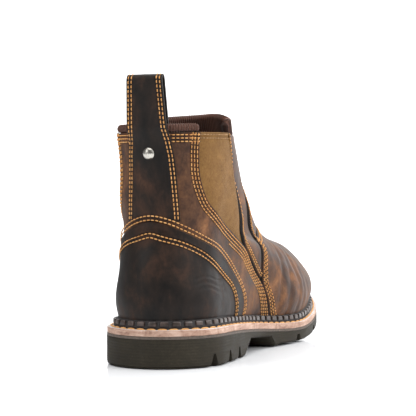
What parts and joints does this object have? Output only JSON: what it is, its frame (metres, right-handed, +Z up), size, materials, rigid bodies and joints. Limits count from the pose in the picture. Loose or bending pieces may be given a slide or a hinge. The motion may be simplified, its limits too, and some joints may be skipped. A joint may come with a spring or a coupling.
{
  "type": "steel toe work boot",
  "caption": "Right-foot pull-on safety work boot with elastic side gussets, heel counter, storm rand, lugged sole and a rear pull loop.",
  "frame": {"origin": "centre of the outsole's length and width, on the ground", "axes": "+X from heel to toe, +Y to the wearer's left, the inner side of this right boot, +Z up"},
  "size_m": [0.312, 0.1141, 0.2079],
  "materials": {
    "sole_rubber": "matt, fine mould lines",
    "midsole_rubber": "matt",
    "welt_edge": "mottled, sanded edge",
    "cork": "granular cork, matt",
    "rand_rubber": "notched storm rand, semi-gloss",
    "plate_steel": "rolled sheet",
    "board": "woven and fibre board",
    "footbed_foam": "fabric-topped foam",
    "thread": "waxed orange-yellow thread",
    "brown_leather": "distressed, oiled, with rubbed patches",
    "dark_leather": "oiled, nearly black brown",
    "lining_knit": "ribbed knit",
    "collar_knit": "ribbed knit, rolled",
    "pad_foam": "foam",
    "stiffener_plastic": "moulded sheet",
    "gusset_elastic": "woven elastic, fine vertical ribs",
    "rivet_metal": "domed and polished"
  },
  "bodies": {
    "boot": {"outsole": "sole_rubber", "midsole": "midsole_rubber", "welt": "welt_edge", "cork_filler": "cork", "storm_rand": "rand_rubber", "steel_midsole": "plate_steel", "insole_board": "board", "footbed": "footbed_foam", "welt_stitching": "thread", "quarter_lateral": "brown_leather", "quarter_medial": "brown_leather", "quarter_lining": "lining_knit", "vamp": "brown_leather", "vamp_lining": "lining_knit", "steel_toe_cap": "plate_steel", "toe_cap_pad_lateral": "pad_foam", "toe_cap_pad_medial": "pad_foam", "heel_counter_stiffener": "stiffener_plastic", "counter_band": "dark_leather", "heel_counter_cover": "dark_leather", "back_strip": "dark_leather", "loop_inner_tab": "dark_leather", "rear_collar_foam": "pad_foam", "rear_collar_knit": "collar_knit", "rear_gusset_lateral": "gusset_elastic", "rear_gusset_medial": "gusset_elastic", "rivet_cap": "rivet_metal", "rivet_burr": "rivet_metal"},
    "front_shaft": {"side_strip_lateral": "brown_leather", "side_strip_medial": "brown_leather", "front_gusset_lateral": "gusset_elastic", "front_gusset_medial": "gusset_elastic", "front_panel": "brown_leather", "front_lining": "lining_knit", "front_collar_knit": "collar_knit"},
    "pull_loop": {"pull_loop": "dark_leather"}
  },
  "joints": [
    {"name": "instep_flex", "type": "hinge", "parent": "boot", "child": "front_shaft", "pos_m": [0.047, 0, 0.098], "axis": [0, 1, 0], "range_deg": [0, 6], "stiffness_Nm_per_rad": 12, "deforming": ["rear_gusset_lateral", "rear_gusset_medial", "front_gusset_lateral", "front_gusset_medial"]},
    {"name": "loop_fold", "type": "hinge", "parent": "boot", "child": "pull_loop", "pos_m": [-0.14385, -0.00298, 0.17123], "axis": [0, 1, 0], "range_deg": [-30, 30], "stiffness_Nm_per_rad": 0.02}
  ]
}
